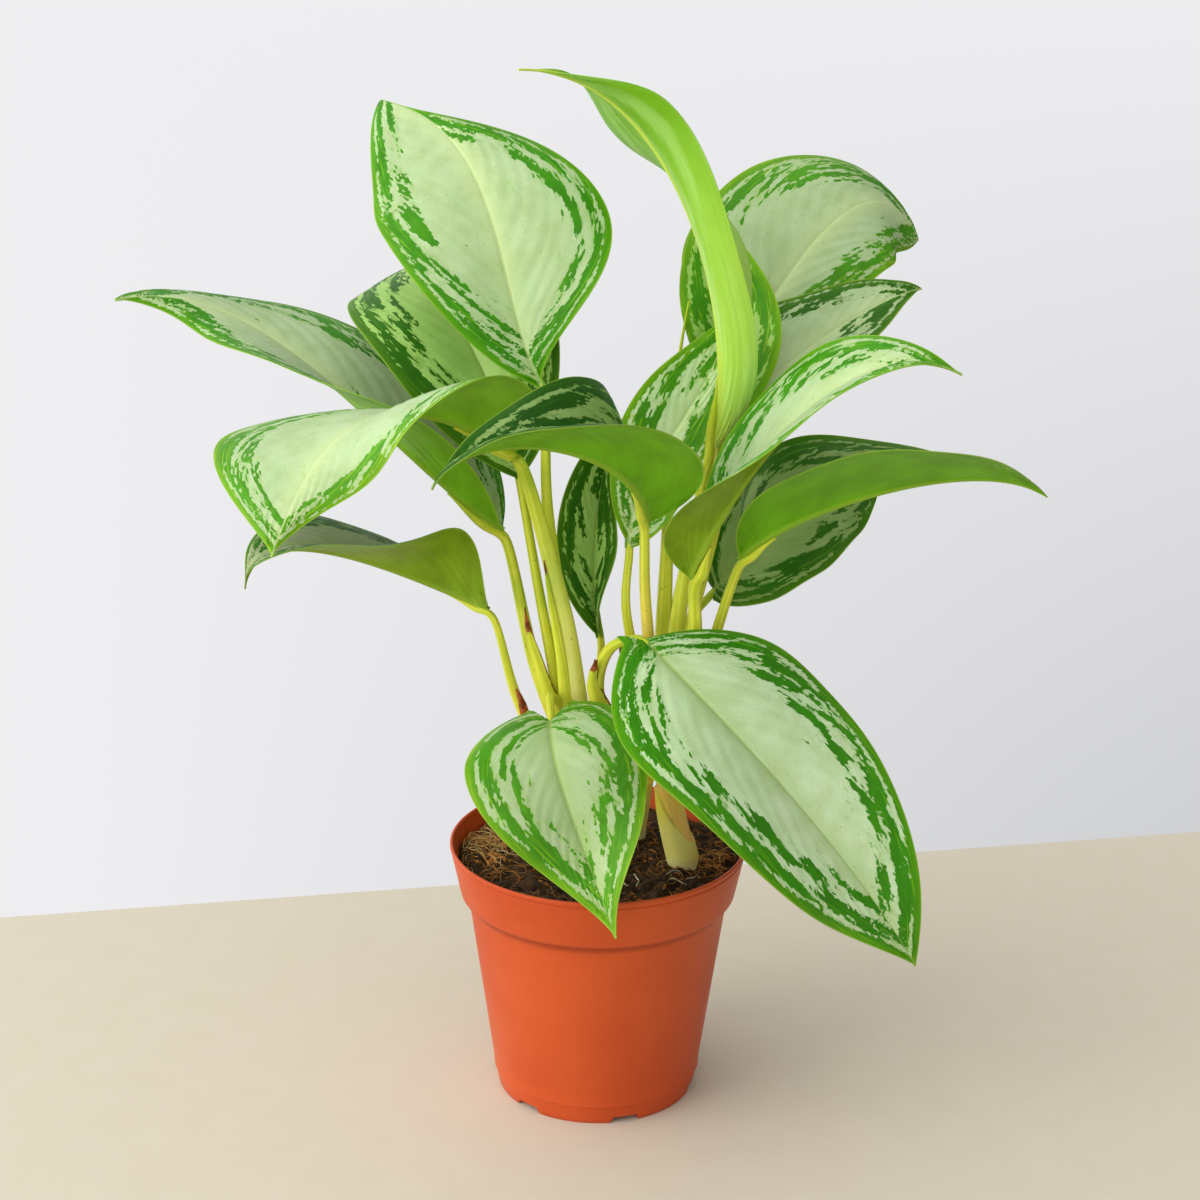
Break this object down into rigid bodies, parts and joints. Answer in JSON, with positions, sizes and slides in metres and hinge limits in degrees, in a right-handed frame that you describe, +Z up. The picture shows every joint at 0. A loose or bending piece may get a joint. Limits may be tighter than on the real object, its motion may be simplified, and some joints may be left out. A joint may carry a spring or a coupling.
{
  "type": "potted chinese evergreen",
  "caption": "Round tapered nursery pot with a deep collar, filled with soil, holding a leafy Chinese evergreen with silver-patterned leaves on upright stalks.",
  "frame": {"origin": "centre of the pot's foot, on the surface the pot stands on", "axes": "+Z up along the pot's axis, -Y towards the plant's front, which the large low leaves hang over, +X to the right seen from the front"},
  "size_m": [0.3587, 0.2319, 0.4166],
  "materials": {
    "pot": "satin",
    "soil": "matte",
    "leaf": "satin",
    "young_leaf": "satin",
    "stem": "satin"
  },
  "bodies": {
    "root": {"pot": "pot", "soil": "soil", "shoot_left": "stem", "shoot_right": "stem", "shoot_back": "stem", "leaf_crown_left": "leaf", "leaf_far_left": "leaf", "leaf_drooping_left": "leaf", "leaf_behind_left": "leaf", "leaf_centre": "leaf", "leaf_low_left": "leaf", "leaf_young": "young_leaf", "leaf_top_right": "leaf", "leaf_behind_young": "leaf", "leaf_upper_right": "leaf", "leaf_mid_right": "leaf", "leaf_low_right": "leaf", "leaf_back_right": "leaf", "leaf_centre_upright": "leaf", "leaf_inner_right": "leaf", "leaf_pot_front": "leaf", "leaf_big_front": "leaf"}
  },
  "joints": []
}
